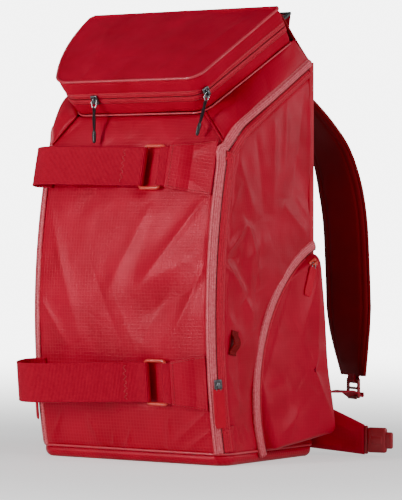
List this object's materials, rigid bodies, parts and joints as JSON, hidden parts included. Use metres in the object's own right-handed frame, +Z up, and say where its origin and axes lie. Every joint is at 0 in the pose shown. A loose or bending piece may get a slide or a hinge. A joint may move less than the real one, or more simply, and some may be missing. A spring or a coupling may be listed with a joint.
{
  "type": "ski boot bag",
  "caption": "Front-loading ski boot backpack with side zip doors, slanted zip lid, bulging side pockets, front lash straps and padded shoulder straps.",
  "frame": {"origin": "on the floor under the middle of the bag's body", "axes": "+Z up, +Y from the front panel towards the wearer's back, +X towards the right seen from the front"},
  "size_m": [0.5032, 0.4196, 0.5679],
  "materials": {
    "shell_fabric": "glossy polyurethane-coated ripstop tarpaulin",
    "zip_tape": "water-repellent coated zip tape",
    "webbing": "woven ribbed webbing",
    "pull_fabric": "stitched matt fabric tab",
    "cord": "braided cord with moulded end",
    "slider_metal": "dark plated metal",
    "slider_red": "red enamelled metal",
    "ring_red": "coral enamelled wire",
    "padding": "padded fabric with bound edges",
    "buckle_red": "moulded acetal",
    "buckle_black": "moulded acetal",
    "board": "sheet polyethylene"
  },
  "bodies": {
    "bag": {"front_panel": "shell_fabric", "base_panel": "shell_fabric", "back_panel": "shell_fabric", "collar": "shell_fabric", "right_yoke": "shell_fabric", "left_yoke": "shell_fabric", "right_side_panel": "shell_fabric", "left_side_panel": "shell_fabric", "right_door_zip_front_tape": "zip_tape", "left_door_zip_front_tape": "zip_tape", "lid_zip_lower_tape": "zip_tape", "right_pocket_panel": "shell_fabric", "left_pocket_panel": "shell_fabric", "right_pocket_zip_tape": "zip_tape", "left_pocket_zip_tape": "zip_tape", "upper_strap": "webbing", "lower_strap": "webbing", "upper_strap_anchor": "shell_fabric", "lower_strap_anchor": "shell_fabric", "base_board": "board", "back_frame_sheet": "board", "back_pads": "padding", "load_lifter_tabs": "webbing", "load_lifter_locks": "buckle_black", "load_lifter_webbing": "webbing", "right_adjuster_webbing": "webbing", "left_adjuster_webbing": "webbing"},
    "lid": {"lid": "shell_fabric", "lid_zip_upper_tape": "zip_tape"},
    "front_lid_slider": {"front_lid_slider": "slider_metal"},
    "front_lid_pull": {"front_lid_pull": "cord"},
    "side_lid_slider": {"side_lid_slider": "slider_metal"},
    "side_lid_pull": {"side_lid_pull": "cord"},
    "upper_ring": {"upper_ring": "ring_red"},
    "lower_ring": {"lower_ring": "ring_red"},
    "haul_handle": {"haul_handle": "webbing"},
    "right_door": {"right_door": "shell_fabric", "right_door_zip_rear_tape": "zip_tape", "right_lash_loop": "webbing"},
    "right_door_slider": {"right_door_slider": "slider_metal"},
    "right_door_pull": {"right_door_pull": "pull_fabric"},
    "right_pocket_flap": {"right_pocket_flap": "shell_fabric"},
    "right_pocket_slider": {"right_pocket_slider": "slider_red"},
    "right_pocket_pull": {"right_pocket_pull": "pull_fabric"},
    "right_shoulder": {"right_shoulder_strap": "padding", "right_strap_lock": "buckle_red"},
    "right_hip": {"right_hip_wing": "shell_fabric", "right_hip_buckle": "buckle_red"},
    "left_door": {"left_door": "shell_fabric", "left_door_zip_rear_tape": "zip_tape", "left_lash_loop": "webbing"},
    "left_door_slider": {"left_door_slider": "slider_metal"},
    "left_door_pull": {"left_door_pull": "pull_fabric"},
    "left_pocket_flap": {"left_pocket_flap": "shell_fabric"},
    "left_pocket_slider": {"left_pocket_slider": "slider_red"},
    "left_pocket_pull": {"left_pocket_pull": "pull_fabric"},
    "left_shoulder": {"left_shoulder_strap": "padding", "left_strap_lock": "buckle_red"},
    "left_hip": {"left_hip_wing": "shell_fabric", "left_hip_buckle": "buckle_red"}
  },
  "joints": [
    {"name": "lid_hinge", "type": "hinge", "parent": "bag", "child": "lid", "pos_m": [0, 0.027, 0.568], "axis": [-1, 0, 0], "range_deg": [0, 110]},
    {"name": "front_lid_slide", "type": "slide", "parent": "lid", "child": "front_lid_slider", "axis": [1, 0, 0], "range_m": [-0.035, 0.13]},
    {"name": "front_lid_pull_swing", "type": "hinge", "parent": "front_lid_slider", "child": "front_lid_pull", "pos_m": [-0.056, -0.09179, 0.4532], "axis": [-1, 0, 0], "range_deg": [0, 100]},
    {"name": "side_lid_slide", "type": "slide", "parent": "lid", "child": "side_lid_slider", "axis": [0.261, 0.7831, 0.5645], "range_m": [0, 0.09]},
    {"name": "side_lid_pull_swing", "type": "hinge", "parent": "side_lid_slider", "child": "side_lid_pull", "pos_m": [0.1102, -0.08224, 0.45841], "axis": [-0.1815, -0.9647, 0.1906], "range_deg": [0, 92]},
    {"name": "right_door_fold", "type": "hinge", "parent": "bag", "child": "right_door", "pos_m": [0.14443, -0.08371, 0.04], "axis": [0.0113, 0.3721, 0.9281], "range_deg": [0, 60]},
    {"name": "left_door_fold", "type": "hinge", "parent": "bag", "child": "left_door", "pos_m": [-0.14443, -0.08371, 0.04], "axis": [0.0113, -0.3721, -0.9281], "range_deg": [0, 60]},
    {"name": "right_door_slide", "type": "hinge", "parent": "right_door", "child": "right_door_slider", "pos_m": [0.137, 0.651, 0.183], "axis": [-1, 0, 0], "range_deg": [0, 19]},
    {"name": "left_door_slide", "type": "hinge", "parent": "left_door", "child": "left_door_slider", "pos_m": [-0.137, 0.651, 0.183], "axis": [-1, 0, 0], "range_deg": [0, 19]},
    {"name": "right_door_pull_swing", "type": "hinge", "parent": "right_door_slider", "child": "right_door_pull", "pos_m": [0.14039, -0.10389, 0.10039], "axis": [-0.7071, -0.7029, -0.0769], "range_deg": [0, 110]},
    {"name": "left_door_pull_swing", "type": "hinge", "parent": "left_door_slider", "child": "left_door_pull", "pos_m": [-0.14039, -0.10389, 0.10039], "axis": [-0.7071, 0.7029, 0.0769], "range_deg": [0, 110]},
    {"name": "right_pocket_fold", "type": "hinge", "parent": "bag", "child": "right_pocket_flap", "pos_m": [0.16214, -0.0105, 0.014], "axis": [0, 0.4003, 0.9164], "range_deg": [0, 50]},
    {"name": "left_pocket_fold", "type": "hinge", "parent": "bag", "child": "left_pocket_flap", "pos_m": [-0.16214, -0.0105, 0.014], "axis": [0, -0.4003, -0.9164], "range_deg": [0, 50]},
    {"name": "right_pocket_slide", "type": "hinge", "parent": "right_pocket_flap", "child": "right_pocket_slider", "pos_m": [0.1985, 0.166, 0.085], "axis": [0.9647, -0.2412, 0.1055], "range_deg": [0, 58]},
    {"name": "left_pocket_slide", "type": "hinge", "parent": "left_pocket_flap", "child": "left_pocket_slider", "pos_m": [-0.1985, 0.166, 0.085], "axis": [0.9647, 0.2412, -0.1055], "range_deg": [0, 58]},
    {"name": "right_pocket_pull_swing", "type": "hinge", "parent": "right_pocket_slider", "child": "right_pocket_pull", "pos_m": [0.16337, 0.08166, 0.24657], "axis": [-0.2633, -0.8841, 0.3862], "range_deg": [0, 110]},
    {"name": "left_pocket_pull_swing", "type": "hinge", "parent": "left_pocket_slider", "child": "left_pocket_pull", "pos_m": [-0.16337, 0.08166, 0.24657], "axis": [-0.2633, 0.8841, -0.3862], "range_deg": [0, 110]},
    {"name": "upper_ring_tilt", "type": "hinge", "parent": "bag", "child": "upper_ring", "pos_m": [0.051, -0.09702, 0.36566], "axis": [0, 0.2372, 0.9715], "range_deg": [-4, 25], "deforming": ["upper_strap"]},
    {"name": "lower_ring_tilt", "type": "hinge", "parent": "bag", "child": "lower_ring", "pos_m": [0.07, -0.11476, 0.10227], "axis": [0, -0.1048, 0.9945], "range_deg": [-4, 25], "deforming": ["lower_strap"]},
    {"name": "haul_handle_flip", "type": "hinge", "parent": "bag", "child": "haul_handle", "pos_m": [0, 0.04397, 0.55834], "axis": [1, 0, 0], "range_deg": [0, 130]},
    {"name": "right_shoulder_swing", "type": "hinge", "parent": "bag", "child": "right_shoulder", "pos_m": [0.058, 0.121, 0.494], "axis": [0.8829, -0.4695, 0], "range_deg": [-12, 30], "deforming": ["right_adjuster_webbing", "load_lifter_webbing"]},
    {"name": "left_shoulder_swing", "type": "hinge", "parent": "bag", "child": "left_shoulder", "pos_m": [-0.058, 0.121, 0.494], "axis": [0.8829, 0.4695, 0], "range_deg": [-12, 30], "deforming": ["left_adjuster_webbing", "load_lifter_webbing"]},
    {"name": "right_hip_swing", "type": "hinge", "parent": "bag", "child": "right_hip", "pos_m": [0.122, 0.107, 0], "axis": [0, 0, 1], "range_deg": [0, 60]},
    {"name": "left_hip_swing", "type": "hinge", "parent": "bag", "child": "left_hip", "pos_m": [-0.122, 0.107, 0], "axis": [0, 0, -1], "range_deg": [0, 60]}
  ],
  "couplings": [
    {"joint": "side_lid_pull_swing", "follows": "side_lid_slide", "rad_per_m": 17.4}
  ]
}
